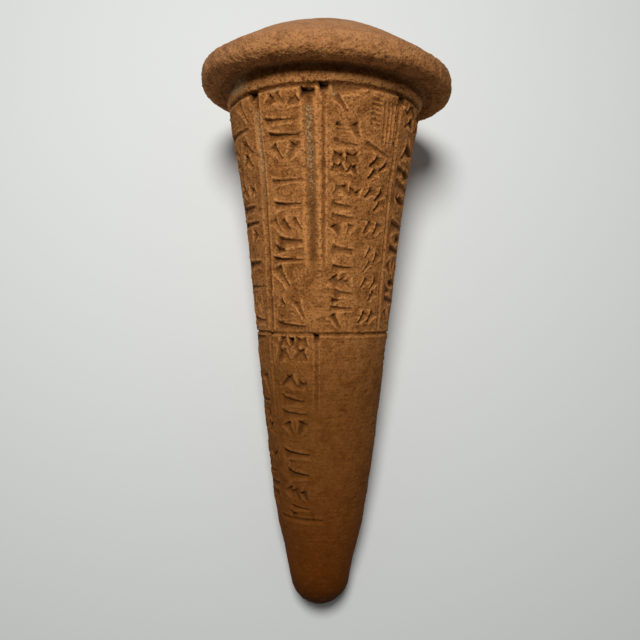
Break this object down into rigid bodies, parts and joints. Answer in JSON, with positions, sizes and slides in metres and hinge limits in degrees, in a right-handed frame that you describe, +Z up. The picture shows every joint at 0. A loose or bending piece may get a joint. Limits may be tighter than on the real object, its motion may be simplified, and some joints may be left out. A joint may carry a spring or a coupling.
{
  "type": "foundation cone",
  "caption": "Fired clay nail with a domed mushroom head and a tapering shank, ruled into columns of shallow wedge strokes, lying on its side.",
  "frame": {"origin": "on the floor under the middle of the lying cone's box", "axes": "+Z up from the floor, +Y from the tip towards the head, +X to the right of someone who looks along +Y"},
  "size_m": [0.0524, 0.1214, 0.0515],
  "materials": {
    "fired_clay": "unglazed, low-fired, matt and slightly gritty, with pale dust and dirt in the grooves"
  },
  "bodies": {
    "root": {"clay_cone": "fired_clay"}
  },
  "joints": []
}
